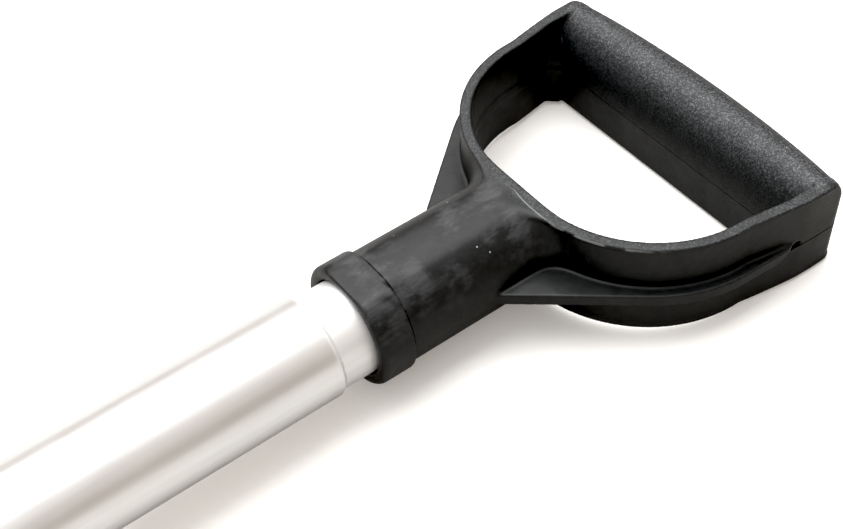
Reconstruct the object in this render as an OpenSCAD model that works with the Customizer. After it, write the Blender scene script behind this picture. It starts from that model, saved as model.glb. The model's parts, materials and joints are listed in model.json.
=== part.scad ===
// Long-handled sand scoop for beach detecting: a perforated stainless basket on a
// two-section telescopic aluminium shaft with a moulded D-grip.
//
// Every module is drawn in the shaft's own frame: X runs along the shaft's axis towards
// the grip, Y is sideways and Z points away from the side the scoop lies on, with the
// origin in the middle of the grip's open socket mouth. The basket has a frame of its
// own, placed by head(): its X runs from the back plate to the mouth. lay() then sets the
// whole scoop down on its back, on the grip's crossbar and the basket's heel, with the
// origin on the ground under the middle of it.

/* [Grip] */
// Width of the D over its two arms
grip_w = 117.8; // [110:0.1:125]
// Depth of the D from its front rim to its back rim
grip_depth = 35; // [30:0.5:38]
// Wall of the bow
bow_wall = 4; // [3:0.5:6]
// Radius of the bow's two outer arcs
bow_r = 45.5; // [42:0.5:48]
// Distance from the socket mouth to the centres of the bow's arcs
bow_x = 107.4; // [105:0.1:112]
// Half the distance between the centres of the bow's arcs
bow_y = 9.5; // [8:0.5:12]
// Outer radius of the collar round the socket mouth
collar_r = 19.5; // [18.8:0.1:21]
// Length of the collar
collar_len = 11.5; // [8:0.5:16]
// Outer radius of the socket barrel
barrel_r = 18.3; // [17.6:0.1:18.6]
// Thickness of the flange round the bow
flange_t = 4; // [3:0.1:5]
// Radius of the flange's two arcs
flange_r = 49; // [47:0.1:50]
// Half the thickness of the crossbar at its middle, along the shaft
bar_half = 12.6; // [11:0.1:14]
// How far the crossbar's outer side falls back from its middle to its ends
bar_bow = 5.8; // [3:0.1:7]

/* [Shaft] */
// Outer diameter of the upper tube
upper_d = 32; // [32:1:32]
// Wall of both tubes
tube_wall = 2; // [1.6:0.1:2]
// Outer diameter of the upper tube's reduced end, which the grip holds
neck_d = 30; // [29:0.1:30]
// Length of the reduced end inside the grip
neck_in = 42; // [36:1:43]
// Lower end of the upper tube, from the socket mouth
upper_end = 540; // [500:5:560]
// Radial running clearance between the two tubes
slide_gap = 0.08; // [0.05:0.01:0.1]
// Distance between the length holes
hole_pitch = 20; // [20:1:20]
// Number of length holes
hole_count = 7; // [5:1:7]
// Diameter of the snap button
button_d = 8; // [7:0.5:8]
// Travel of the snap button
button_travel = 4.6; // [4.5:0.1:4.8]

/* [Head] */
// Distance from the socket mouth to the middle of the back plate
head_x = 900; // [860:10:940]
// Angle between the shaft and the basket's own axis
head_angle = 30; // [24:1:34]
// Length of the belly, from the back plate to the lip
belly_len = 190; // [170:5:210]
// Length of the top panel
top_len = 125; // [110:5:140]
// Thickness of the perforated sheet
sheet_t = 2; // [1.5:0.5:2]
// Thickness of the back plate
back_t = 3; // [3:0.5:4]
// Thickness of the cutting lip
lip_t = 3; // [3:0.5:4]
// How far the point of the lip stands past the belly
lip_len = 46; // [35:1:55]
// Diameter of the basket's holes
sift_d = 10; // [8:0.5:11]
// Distance between the basket's holes
sift_pitch = 15.5; // [15:0.5:18]
// Outer radius of the shaft socket
socket_r = 16.9; // [16.9:0.1:17.5]
// Length of the shaft socket
socket_len = 150; // [130:5:160]
// Height of the foot step over the top panel
step_h = 38; // [30:1:44]
// Width of the foot step
step_w = 120; // [100:2:130]
// Diameter of the rod round the mouth
rim_d = 5; // [4:0.5:6]

/* [Hidden] */
$fn = 48;

grip_h = grip_depth / 2;            // half the D's depth
arm_y = grip_w / 2;                 // outside of the arms at the crossbar
seam_z = -2;                        // height of the crossbar's parting line
bar_in = 126.2;                     // crossbar's inner wall, from the mouth
bar_mid = bar_in + bar_half;        // middle of the crossbar
bar_out = bar_in + 2 * bar_half;    // crossbar's outermost line
bar_draft = 1.35;                   // draft of the walls under the parting line
bar_corner = 4.6;                   // radius of the D's outer corners
bar_end = bar_out - bar_bow * 0.85; // crossbar's outer line where the corners start
screw_x = 28;                       // grip screw, from the mouth

upper_r = upper_d / 2;
upper_in = upper_r - tube_wall;     // bore of the upper tube
neck_r = neck_d / 2;
shoulder_x = -11.3;                 // where the upper tube starts to narrow
neck_x = -10.2;                     // where the reduced end starts
lower_r = upper_in - slide_gap;     // the lower tube slides in the upper one
lower_in = lower_r - tube_wall;
button_x = -(upper_end - 22 - hole_pitch * (hole_count - 1));
lower_top = button_x + 62;
lower_end = -head_x + 20;           // lower end of the lower tube
button_low = 8.4;                   // underside of the button's flange
button_top = upper_in + button_travel - 0.4;

// The basket's section, seen from the mouth, starting at the belly and going round
// anticlockwise: belly, bilge, side, shoulder, top, shoulder, side, bilge.
belly_y = 35; bilge_y = 78; side_y = 78; top_y = 48;
belly_z = -65; bilge_z = -22; side_z = 35; top_z = 65;
SECTION = [
    [-belly_y, belly_z], [belly_y, belly_z], [bilge_y, bilge_z], [side_y, side_z],
    [top_y, top_z], [-top_y, top_z], [-side_y, side_z], [-bilge_y, bilge_z]
];
mouth_tilt = atan((top_len - belly_len) / (top_z - belly_z));
// Where the mouth's plane crosses height z
function mouth_x(z) = belly_len + (z - belly_z) * tan(mouth_tilt);

// A point of the basket's frame, at side y = 0, in the shaft's frame
function on_head(x, z) = [
    -head_x - x * cos(head_angle) + z * sin(head_angle),
    x * sin(head_angle) + z * cos(head_angle)
];
// A point on the back plate's outer face, at height s
function on_back(s) = on_head(-back_t, s);

// The scoop lies on the basket's heel and on the crossbar's lower outer edge
heel = on_back(belly_z);
bar_foot = [bar_out - bar_draft, -grip_h];
lay_angle = atan2(bar_foot[1] - heel[1], bar_foot[0] - heel[0]);
function laid(p) = [
    p[0] * cos(lay_angle) + p[1] * sin(lay_angle),
    -p[0] * sin(lay_angle) + p[1] * cos(lay_angle)
];
tip = on_head(belly_len + lip_len, belly_z);
tip_in = on_head(belly_len + lip_len, belly_z + lip_t);
lay_back = (min(laid(tip)[0], laid(tip_in)[0]) + laid([bar_out, seam_z])[0]) / 2;
lay_up = -laid(heel)[1];

module lay() {
    translate([-lay_back, 0, lay_up]) rotate([0, lay_angle, 0]) children();
}

module head() {
    translate([-head_x, 0, 0]) rotate([0, head_angle, 0]) rotate([0, 0, 180])
        children();
}

// A cylinder along X from x0 to x1
module rod(x0, x1, r0, r1 = -1, fn = 96) {
    translate([x0, 0, 0]) rotate([0, 90, 0])
        cylinder(h = x1 - x0, r1 = r0, r2 = r1 < 0 ? r0 : r1, $fn = fn);
}

// A cylinder from point p to point q
module strut(p, q, r) {
    d = q - p;
    translate(p) rotate([0, acos(d[2] / norm(d)), atan2(d[1], d[0])])
        cylinder(h = norm(d), r = r, $fn = 32);
}

// ---------------------------------------------------------------- grip

// The bow's outline: two arcs, the flat between them, and the arms to the crossbar
module bow_outline(r, arm0, arm1, arm2, reach) {
    for (s = [-1, 1]) translate([bow_x, s * bow_y]) circle(r = r, $fn = 128);
    translate([bow_x - r, -bow_y]) square([r, 2 * bow_y]);
    polygon([
        [bow_x, arm0], [bow_x + 14.4, arm1], [bow_x + 23.4, arm2], [reach, arm2],
        [reach, -arm2], [bow_x + 23.4, -arm2], [bow_x + 14.4, -arm1], [bow_x, -arm0]
    ]);
}

// The hand opening, and everything between the arms up to the crossbar
module hand_outline() {
    r = bow_r - bow_wall;
    for (s = [-1, 1]) translate([bow_x, s * bow_y]) circle(r = r, $fn = 128);
    translate([bow_x - r, -bow_y]) square([r, 2 * bow_y]);
    polygon([
        [bow_x, r + bow_y], [bar_in - 3, arm_y - 5.6], [bar_in, arm_y - 8.4],
        [bar_in, -arm_y + 8.4], [bar_in - 3, -arm_y + 5.6], [bow_x, -r - bow_y]
    ]);
}

// The flange lies in the grip's middle plane and runs out to points on the barrel
module flange_outline() {
    tip_y = 17.88; tip_x = 40.6;
    d = [bow_x - tip_x, bow_y - tip_y];
    lean = atan2(d[1], d[0]) + asin(flange_r / norm(d));
    touch = [tip_x, tip_y] + sqrt(norm(d) * norm(d) - flange_r * flange_r)
        * [cos(lean), sin(lean)];
    for (s = [-1, 1]) translate([bow_x, s * bow_y]) circle(r = flange_r, $fn = 128);
    translate([bow_x - flange_r, -bow_y]) square([flange_r, 2 * bow_y]);
    translate([bow_x, -flange_r - bow_y]) square([16.6, 2 * (flange_r + bow_y)]);
    polygon([
        [tip_x, tip_y], touch, [bow_x, touch[1]],
        [bow_x, -touch[1]], [touch[0], -touch[1]], [tip_x, -tip_y]
    ]);
}

// Half an ellipse over the parting line, drafted flat walls under it
module bar_profile(inset = 0) {
    a = bar_half - inset; b = grip_h - seam_z - inset;
    polygon(concat(
        [for (t = [0:7.5:180]) [bar_mid + a * cos(t), seam_z + b * sin(t)]],
        [[bar_in + inset + bar_draft, -grip_h], [bar_out - inset - bar_draft, -grip_h]]
    ));
}

module crossbar() {
    bow_arc = (arm_y * arm_y + bar_bow * bar_bow) / (2 * bar_bow);
    intersection() {
        translate([0, arm_y, 0]) rotate([90, 0, 0]) linear_extrude(2 * arm_y)
            bar_profile();
        translate([bar_out - bow_arc, 0, -30]) cylinder(h = 60, r = bow_arc, $fn = 360);
        // the D's two outer corners are rounded
        translate([0, 0, -30]) linear_extrude(60) union() {
            translate([110, -arm_y]) square([bar_end - bar_corner - 110, 2 * arm_y]);
            translate([110, bar_corner - arm_y])
                square([60, 2 * (arm_y - bar_corner)]);
            for (s = [-1, 1]) translate([bar_end - bar_corner, s * (arm_y - bar_corner)])
                circle(r = bar_corner, $fn = 64);
        }
    }
}

// The crossbar is cored out from below, with cross ribs left in the core
module bar_core() {
    for (i = [-2:2]) translate([0, i * 20.6, 0])
        translate([bar_in + 4.6, -9.1, -grip_h - 1])
            cube([2 * bar_half - 10.4, 18.2, grip_h + 8]);
}

module d_grip() {
    color("#26272a") lay() difference() {
        union() {
            difference() {
                union() {
                    translate([0, 0, -grip_h]) linear_extrude(grip_depth)
                        bow_outline(bow_r, bow_r + bow_y, arm_y - 1.6, arm_y, bar_mid - 2);
                    translate([0, 0, 1.1 - flange_t]) linear_extrude(flange_t)
                        flange_outline();
                    rod(1.8, collar_len, collar_r);
                    rod(0.6, 1.81, collar_r - 0.7, collar_r);
                    rod(0, 0.61, collar_r - 1.8, collar_r - 0.7);
                    rod(collar_len, 63, barrel_r);
                }
                translate([0, 0, -grip_h - 1]) linear_extrude(grip_depth + 2)
                    hand_outline();
                // nothing of the arms stands past the crossbar's own profile
                translate([bar_in + 6, -80, -30]) cube([40, 160, 60]);
            }
            crossbar();
        }
        bar_core();
        // socket: a wide mouth with a chamfer, then the seat of the reduced tube
        rod(-1, 0.01, neck_r + 0.9);
        rod(0, 0.6, neck_r + 0.9, neck_r + 0.3);
        rod(0.5, 7, neck_r + 0.3);
        rod(6.9, neck_in + 1.5, neck_r + 0.1);
        // screw hole and the seat of its head, on the underside
        translate([screw_x, 0, -30]) cylinder(h = 18, r = 2.3);
        translate([screw_x, 0, -30]) cylinder(h = 30 - 16.6, r = 4.5);
        // a small blind hole where the flange runs out at each end of the bow
        for (s = [-1, 1]) translate([126, s * 55.6, -1]) rotate([-90 * s, 0, 0])
            cylinder(h = 6, r = 0.8);
    }
}

module grip_screw() {
    color("#c9cbcd") lay() translate([screw_x, 0, 0]) difference() {
        union() {
            translate([0, 0, -16.6]) cylinder(h = 7.6, r = 2.1);
            translate([0, 0, -18.9]) cylinder(h = 2.3, r = 4);
        }
        // square-ended recess for the driver
        for (a = [0, 90]) rotate([0, 0, a]) translate([-0.45, -2.2, -19.5])
            cube([0.9, 4.4, 1.9]);
    }
}

// ---------------------------------------------------------------- shaft

module upper_shaft() {
    color("#d4d5d6") lay() difference() {
        union() {
            rod(-upper_end, shoulder_x, upper_r);
            rod(shoulder_x, neck_x, upper_r, neck_r);
            rod(neck_x, neck_in, neck_r);
        }
        rod(-upper_end - 1, shoulder_x - 6, upper_in);
        rod(shoulder_x - 6.01, shoulder_x - 3, upper_in, neck_r - tube_wall);
        rod(shoulder_x - 3.01, neck_in + 1, neck_r - tube_wall);
        // the length holes
        for (i = [0:hole_count - 1]) translate([button_x - i * hole_pitch, 0, 5])
            cylinder(h = 15, r = button_d / 2 + 0.5);
        // the grip screw's hole
        translate([screw_x, 0, -20]) cylinder(h = 12, r = 2.2);
    }
}

// A moulded sleeve on the upper tube's lower end, which guides the lower tube
module shaft_ferrule() {
    color("#232426") lay() difference() {
        union() {
            rod(-upper_end - 5, -upper_end + 13, 18.4);
            rod(-upper_end + 13, -upper_end + 14, 18.4, 17.4);
            rod(-upper_end - 6, -upper_end - 5, 17.4, 18.4);
        }
        rod(-upper_end - 7, -upper_end, upper_in + 0.01);
        rod(-upper_end, -upper_end + 15, upper_r + 0.05);
    }
}

module lower_shaft() {
    color("#cfd0d2") lay() difference() {
        rod(lower_end, lower_top, lower_r);
        rod(lower_end - 1, lower_top + 1, lower_in);
        translate([button_x, 0, 5]) cylinder(h = 15, r = button_d / 2 + 0.1);
        for (x = [60, 110]) translate([-head_x + x, 20, 0]) rotate([90, 0, 0])
            cylinder(h = 40, r = 3.3);
    }
}

module snap_button() {
    color("#b9bbbe") lay() translate([button_x, 0, 0]) {
        difference() {
            union() {
                translate([0, 0, button_low]) cylinder(h = 1.8, r = 5.4);
                intersection() {
                    translate([0, 0, button_low])
                        cylinder(h = button_top - button_low, r = button_d / 2);
                    translate([0, 0, button_top - 8]) sphere(r = 8, $fn = 96);
                }
                translate([0, 0, button_low]) cylinder(h = 5, r = button_d / 2);
            }
        }
    }
}

// A hairpin of spring strip: one leaf carries the button, the other lies on the bore
module button_spring() {
    x = button_x;
    color("#8f9194") lay() translate([0, 3.5, 0]) rotate([90, 0, 0]) linear_extrude(7) union() {
        polygon([[x - 50, 1.8], [x - 8, 8.4], [x + 6, 8.4], [x + 6, 7.7],
            [x - 8, 7.7], [x - 50, 1.1]]);
        polygon([[x - 50, -4.6], [x - 3, -11.3], [x - 3, -10.6], [x - 50, -3.9]]);
        intersection() {
            difference() {
                translate([x - 50, -1.4]) circle(r = 3.2);
                translate([x - 50, -1.4]) circle(r = 2.5);
            }
            translate([x - 60, -10]) square([10.5, 20]);
        }
    }
}

module shaft_end_plug() {
    color("#1f2022") lay() {
        rod(lower_end, lower_end + 12, lower_in - 0.05);
        rod(lower_end - 3, lower_end, lower_r);
    }
}

// ---------------------------------------------------------------- socket

module behind_back() {
    translate([-200 - back_t, -200, -200]) cube([200, 400, 400]);
}

module shaft_socket() {
    color("#b4b6b8") lay() difference() {
        intersection() {
            rod(-head_x - 40, -head_x + socket_len, socket_r);
            head() behind_back();
        }
        rod(-head_x - 60, -head_x + socket_len + 1, lower_r + 0.18);
        for (x = [60, 110]) translate([-head_x + x, 20, 0]) rotate([90, 0, 0])
            cylinder(h = 40, r = 3.3);
    }
}

module socket_bolts() {
    color("#c3c5c7") lay() for (x = [60, 110]) translate([-head_x + x, 0, 0]) {
        translate([0, 26.5, 0]) rotate([90, 0, 0]) cylinder(h = 45, r = 3);
        translate([0, -22.5, 0]) rotate([90, 0, 0]) cylinder(h = 0.6, r = 4.6);
        translate([0, -18.5, 0]) rotate([90, 0, 0]) cylinder(h = 4, r = 5.77, $fn = 6);
    }
}

module socket_nuts() {
    color("#b8babc") lay() for (x = [60, 110]) translate([-head_x + x, 18.5, 0])
        difference() {
            union() {
                rotate([-90, 0, 0]) cylinder(h = 4.6, r = 5.77, $fn = 6);
                rotate([-90, 0, 0]) cylinder(h = 6, r = 4.4);
            }
            translate([0, -1, 0]) rotate([-90, 0, 0]) cylinder(h = 9, r = 3.05);
        }
}

module socket_washers() {
    color("#c9cbcd") lay() for (x = [60, 110], s = [-1, 1])
        translate([-head_x + x, s * 17.7 + 0.8, 0]) rotate([90, 0, 0]) difference() {
            cylinder(h = 1.6, r = 6);
            translate([0, 0, -1]) cylinder(h = 4, r = 3.2);
        }
}

module gusset(points, hole) {
    lay() translate([0, 2, 0]) rotate([90, 0, 0]) linear_extrude(4) difference() {
        polygon(points);
        translate(hole) circle(d = 11);
    }
}

module upper_gusset() {
    s = (socket_r + back_t * sin(head_angle)) / cos(head_angle);
    color("#b0b2b4") gusset([
        on_back(s), [-head_x + 84, socket_r], [-head_x + 84, socket_r + 3],
        on_back(51) + [10, 3], on_back(54)
    ], [-head_x + 42, socket_r + 11]);
}

module lower_gusset() {
    s = (-socket_r + back_t * sin(head_angle)) / cos(head_angle);
    color("#b0b2b4") gusset([
        on_back(s), on_back(-58), on_back(-58) + [8, 0],
        [-head_x + 74, -socket_r - 3], [-head_x + 74, -socket_r]
    ], [-head_x + 12, -socket_r - 11]);
}

// ---------------------------------------------------------------- basket

// Everything past the mouth's slanted plane
module past_mouth() {
    translate([belly_len, -200, belly_z]) rotate([0, mouth_tilt, 0])
        translate([0, 0, -300]) cube([400, 400, 600]);
}

function edge(i) = SECTION[(i + 1) % 8] - SECTION[i];
function turn(i) = let (a = edge((i + 7) % 8), b = edge(i))
    acos((a * b) / (norm(a) * norm(b)));

// Stands the children on side i of the section: X along the basket, Y along the side,
// Z inwards
module on_side(i) {
    e = edge(i);
    translate([0, SECTION[i][0], SECTION[i][1]]) rotate([atan2(e[1], e[0]), 0, 0])
        children();
}

// A strip of sheet on side i, mitred to its neighbours on both long edges
module strip(i, t, length) {
    w = norm(edge(i)); m0 = t * tan(turn(i) / 2); m1 = t * tan(turn((i + 1) % 8) / 2);
    on_side(i) rotate([90, 0, 90]) linear_extrude(length)
        polygon([[0, 0], [w, 0], [w - m1, t], [m0, t]]);
}

// Staggered rows of sifting holes, kept clear of the sheet's edges and the mouth
module sift_holes(i, t) {
    w = norm(edge(i)); e = edge(i) / w;
    row = sift_pitch * sin(60);
    n = floor((w - 2 * 10) / sift_pitch);
    for (k = [0:12]) {
        x = 13 + k * row;
        cols = k % 2 == 0 ? n : n - 1;
        for (j = [0:max(cols, 0)]) {
            u = w / 2 + (j - cols / 2) * sift_pitch;
            z = SECTION[i][1] + e[1] * u;
            if (x < mouth_x(z) - 9)
                on_side(i) translate([x, u, -1]) cylinder(h = t + 2, d = sift_d, $fn = 32);
        }
    }
}

module sheet_panel(i) {
    color("#c2c4c6") lay() head() difference() {
        strip(i, sheet_t, 260);
        past_mouth();
        sift_holes(i, sheet_t);
    }
}

module belly_panel() { sheet_panel(0); }
module bilge_left() { sheet_panel(1); }
module side_left() { sheet_panel(2); }
module shoulder_left() { sheet_panel(3); }
module top_panel() { sheet_panel(4); }
module shoulder_right() { sheet_panel(5); }
module side_right() { sheet_panel(6); }
module bilge_right() { sheet_panel(7); }

module back_plate() {
    color("#bfc1c3") lay() head() difference() {
        rotate([90, 0, 90]) translate([0, 0, -back_t]) linear_extrude(back_t)
            polygon(SECTION);
        for (j = [-3:3], k = [-4:4]) {
            y = (j + (abs(k) % 2) / 2) * sift_pitch + (abs(k) % 2) * 0;
            z = k * sift_pitch * sin(60);
            inside = abs(y) < 65 && z > belly_z + 9 && z < top_z - 9
                && abs(y) < belly_y + (z - belly_z) - 12
                && abs(y) < top_y + (top_z - z) - 12;
            clear = norm([y, z * 0.87]) > 28 && (abs(y) > 9 || abs(z) < 20);
            if (inside && clear) translate([-back_t - 1, y, z]) rotate([0, 90, 0])
                cylinder(h = back_t + 2, d = sift_d, $fn = 32);
        }
    }
}

// A tread plate in the plane of the back plate, standing over the top panel
module foot_step() {
    color("#b8babc") lay() head() translate([-back_t, 0, 0]) rotate([90, 0, 90])
        linear_extrude(4) difference() {
            union() {
                translate([-step_w / 2, top_z]) square([step_w, step_h - 12]);
                translate([-step_w / 2 + 12, top_z]) square([step_w - 24, step_h]);
                for (s = [-1, 1]) translate([s * (step_w / 2 - 12), top_z + step_h - 12])
                    circle(r = 12);
            }
            for (j = [-2:2]) translate([j * 20, top_z + 21]) circle(d = 9);
        }
}

module step_brackets() {
    color("#b0b2b4") lay() head() for (s = [-1, 1])
        translate([4 - back_t, s * 40 + 1.5, top_z]) rotate([90, 0, 0])
            linear_extrude(3) polygon([[0, 0], [34, 0], [34, 3], [3, 30], [0, 30]]);
}

module cutting_lip() {
    b = belly_len;
    color("#cacccd") lay() head() intersection() {
        union() { for (i = [7, 0, 1]) strip(i, lip_t, 300); }
        past_mouth();
        translate([0, 0, -100]) linear_extrude(150) polygon([
            [100, -100], [b - 12, -100], [b + 22, -40], [b + lip_len - 6, -14],
            [b + lip_len, -5], [b + lip_len, 5], [b + lip_len - 6, 14],
            [b + 22, 40], [b - 12, 100], [100, 100]
        ]);
    }
}

// A round rod in front of the sheets' edges, from one side of the lip to the other
module mouth_rim() {
    r = rim_d / 2;
    function at(y, z) = [mouth_x(z) + r * cos(mouth_tilt), y, z - r * sin(mouth_tilt)];
    path = [
        at(bilge_y - 1, bilge_z + 6), at(side_y - 1, side_z - 0.4),
        at(top_y - 0.4, top_z - 1), at(-top_y + 0.4, top_z - 1),
        at(-side_y + 1, side_z - 0.4), at(-bilge_y + 1, bilge_z + 6)
    ];
    color("#c6c8ca") lay() head() {
        for (i = [0:4]) strut(path[i], path[i + 1], r);
        for (p = path) translate(p) sphere(r = r * 1.08, $fn = 32);
    }
}

d_grip();
grip_screw();
upper_shaft();
shaft_ferrule();
lower_shaft();
snap_button();
button_spring();
shaft_end_plug();
shaft_socket();
socket_bolts();
socket_nuts();
socket_washers();
upper_gusset();
lower_gusset();
back_plate();
foot_step();
step_brackets();
belly_panel();
bilge_left();
bilge_right();
side_left();
side_right();
shoulder_left();
shoulder_right();
top_panel();
cutting_lip();
mouth_rim();
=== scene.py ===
import bpy, bmesh, json, math
import numpy as np
from mathutils import Matrix, Vector


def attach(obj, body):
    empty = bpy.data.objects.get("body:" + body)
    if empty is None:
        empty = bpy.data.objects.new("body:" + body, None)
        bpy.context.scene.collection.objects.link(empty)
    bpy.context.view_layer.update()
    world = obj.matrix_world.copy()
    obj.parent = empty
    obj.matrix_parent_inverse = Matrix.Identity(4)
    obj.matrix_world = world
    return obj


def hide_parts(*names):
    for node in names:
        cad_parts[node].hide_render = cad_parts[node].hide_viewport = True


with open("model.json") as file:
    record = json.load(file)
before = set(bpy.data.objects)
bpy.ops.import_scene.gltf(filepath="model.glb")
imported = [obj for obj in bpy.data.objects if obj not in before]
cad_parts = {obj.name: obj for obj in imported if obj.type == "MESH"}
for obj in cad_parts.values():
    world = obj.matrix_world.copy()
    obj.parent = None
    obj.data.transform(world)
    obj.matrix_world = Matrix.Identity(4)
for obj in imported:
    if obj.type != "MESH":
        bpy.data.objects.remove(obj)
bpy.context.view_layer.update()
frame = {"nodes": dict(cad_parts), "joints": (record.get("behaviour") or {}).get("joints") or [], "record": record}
nodes = frame["nodes"]

# ------------------------------------------------------------------ frames
# The shaft's frame: millimetres, X along the shaft towards the grip, origin in the
# grip's socket mouth. Its tilt comes from the shaft_pull joint's axis.
HEAD_X, HEAD_ANGLE = 900.0, math.radians(30)
BELLY_LEN, TOP_LEN, BACK_T = 190.0, 125.0, 3.0
BELLY_Z, TOP_Z = -65.0, 65.0
SECTION = [(-35, -65), (35, -65), (78, -22), (78, 35), (48, 65), (-48, 65), (-78, 35), (-78, -22)]
press = next(j for j in frame["joints"] if j["name"] == "shaft_pull")
AX = Vector(press["axis"]).normalized()              # shaft's direction in the row frame
TH = math.atan2(-AX.z, AX.x)                         # how far the scoop is laid over
# the origin: the head's heel gives the height, and a given offset the shift along X
heel = (-HEAD_X + BACK_T * math.cos(HEAD_ANGLE) + BELLY_Z * math.sin(HEAD_ANGLE),
        -BACK_T * math.sin(HEAD_ANGLE) + BELLY_Z * math.cos(HEAD_ANGLE))
UP = heel[0] * math.sin(TH) - heel[1] * math.cos(TH)
BACK = -491.28537426982314
LAY = Matrix.Translation((-BACK / 1000, 0, UP / 1000)) @ Matrix.Rotation(TH, 4, "Y") @ Matrix.Scale(0.001, 4)
LAY_R = Matrix.Rotation(TH, 3, "Y")
c_, s_ = math.cos(HEAD_ANGLE), math.sin(HEAD_ANGLE)
HEADM = Matrix(((-c_, 0, s_, -HEAD_X), (0, -1, 0, 0), (s_, 0, c_, 0), (0, 0, 0, 1)))


def mesh_object(name, verts, faces, matrix=None, smooth=True):
    me = bpy.data.meshes.new(name)
    verts = np.asarray(verts, float)
    if matrix is not None:
        M = np.array(matrix)
        verts = verts @ M[:3, :3].T + M[:3, 3]
    if isinstance(faces, np.ndarray):
        me.vertices.add(len(verts))
        me.vertices.foreach_set("co", verts.astype(np.float32).ravel())
        n, k = faces.shape
        me.loops.add(n * k)
        me.loops.foreach_set("vertex_index", faces.astype(np.int32).ravel())
        me.polygons.add(n)
        me.polygons.foreach_set("loop_start", np.arange(0, n * k, k, dtype=np.int32))
        me.update(calc_edges=True)
        me.validate()
    else:
        me.from_pydata([tuple(v) for v in verts], [], faces)
        me.update()
    if smooth:
        me.polygons.foreach_set("use_smooth", np.ones(len(me.polygons), bool))
    ob = bpy.data.objects.new(name, me)
    bpy.context.scene.collection.objects.link(ob)
    return ob


# ------------------------------------------------------------------ grip as a distance field
BOW_X, BOW_Y, BOW_R, WALL = 107.4, 9.5, 45.5, 4.0
ARM_Y, GRIP_H, SEAM_Z = 58.9, 17.5, -2.0
BAR_IN, BAR_HALF, FLANGE_R = 126.2, 12.6, 49.0
FLANGE_TOP, FLANGE_HALF, CORNER = 1.1, 2.0, 4.6


def bar_half(y):
    """Half the crossbar's breadth, a little less towards its ends."""
    t = np.minimum(np.abs(y) / ARM_Y, 1.0)
    return BAR_HALF - 2.5 * t ** 2 - 0.4 * t ** 6


def arc(cx, cy, r, a0, a1, n):
    a = np.radians(np.linspace(a0, a1, n))
    return np.c_[cx + r * np.cos(a), cy + r * np.sin(a)]


def smooth_path(points, n):
    """Points along a Catmull-Rom curve through the given ones."""
    P = np.array(points, float)
    P = np.vstack([2 * P[0] - P[1], P, 2 * P[-1] - P[-2]])
    out = []
    for i in range(1, len(P) - 2):
        t = np.linspace(0, 1, n, endpoint=False)[:, None]
        a, b, c, d = P[i - 1], P[i], P[i + 1], P[i + 2]
        out.append(0.5 * (2 * b + (c - a) * t + (2 * a - 5 * b + 4 * c - d) * t ** 2 + (3 * b - a - 3 * c + d) * t ** 3))
    return np.vstack(out + [P[-2:-1]])


def mirrored(P):
    """Closed outline from its +y half, which runs from the bow's middle to the crossbar."""
    return np.vstack([P, (P * [1, -1])[::-1]])


OUTER = mirrored(np.vstack([
    arc(BOW_X, BOW_Y, BOW_R, 180, 90, 30),
    smooth_path([(BOW_X, BOW_R + BOW_Y), (114.6, 56.35), (121.8, 57.55), (128.5, 58.5), (135.5, ARM_Y)], 5)[1:],
    arc(BAR_IN + 2 * float(bar_half(ARM_Y)) - CORNER, ARM_Y - CORNER, CORNER, 90, 4, 8),
    [(BAR_IN + 2 * float(bar_half(t)) + min(1.4, 0.25 * (54 - t)), t) for t in (52, 49, 46, 42, 38, 33, 28, 22, 16, 10, 4)]]))
INNER = mirrored(np.vstack([
    arc(BOW_X, BOW_Y, BOW_R - WALL, 180, 90, 30),
    smooth_path([(BOW_X, BOW_R - WALL + BOW_Y), (115.4, 52.3), (BAR_IN - 2.6, 53.7)], 5)[1:],
    [(150.0, 54.4)]]))
PILLAR = np.array([(122.6, 54.6), (123.0, 53.3), (126.0, 50.4), (127.5, 50.4), (128.5, 54.6)])
_tip = np.array([40.6, 17.88])
_d = np.array([BOW_X, BOW_Y]) - _tip
_lean = math.atan2(_d[1], _d[0]) + math.asin(FLANGE_R / np.linalg.norm(_d))
_touch = _tip + math.sqrt(_d @ _d - FLANGE_R ** 2) * np.array([math.cos(_lean), math.sin(_lean)])
_ta = math.degrees(math.atan2(_touch[1] - BOW_Y, _touch[0] - BOW_X))
FLANGE = mirrored(np.vstack([
    [(_tip[0], 0), _tip], arc(BOW_X, BOW_Y, FLANGE_R, _ta, 90, 30),
    smooth_path([(BOW_X, FLANGE_R + BOW_Y), (114.6, 58.9), (121.0, 58.9), (125.2, 57.6)], 5)[1:],
    [(126.0, 55.0), (126.0, 0)]])[1:])


def polygon_distance(poly, X, Y):
    """Signed distance to a closed outline, negative inside."""
    d2 = np.full(X.shape, 1e12)
    inside = np.zeros(X.shape, bool)
    n = len(poly)
    for i in range(n):
        ax, ay = poly[i]
        bx, by = poly[(i + 1) % n]
        ex, ey = bx - ax, by - ay
        l2 = ex * ex + ey * ey
        if l2 < 1e-12:
            continue
        wx, wy = X - ax, Y - ay
        t = np.clip((wx * ex + wy * ey) / l2, 0, 1)
        dx, dy = wx - ex * t, wy - ey * t
        np.minimum(d2, dx * dx + dy * dy, out=d2)
        hit = ((ay > Y) != (by > Y)) & (X < ex * (Y - ay) / (ey if ey else 1e-30) + ax)
        inside ^= hit
    d = np.sqrt(d2)
    return np.where(inside, -d, d)


def extrude(d2, w, r):
    """Distance to an extruded outline whose edges are rounded by r."""
    a, b = d2 + r, w + r
    return np.minimum(np.maximum(a, b), 0) + np.hypot(np.maximum(a, 0), np.maximum(b, 0)) - r


def blend_union(a, b, k):
    h = np.maximum(k - np.abs(a - b), 0) / k
    return np.minimum(a, b) - h * h * k * 0.25


def blend_cut(a, b, k):
    """a without b, with the new edge rounded over about k."""
    return -blend_union(-a, b, k)


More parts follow.
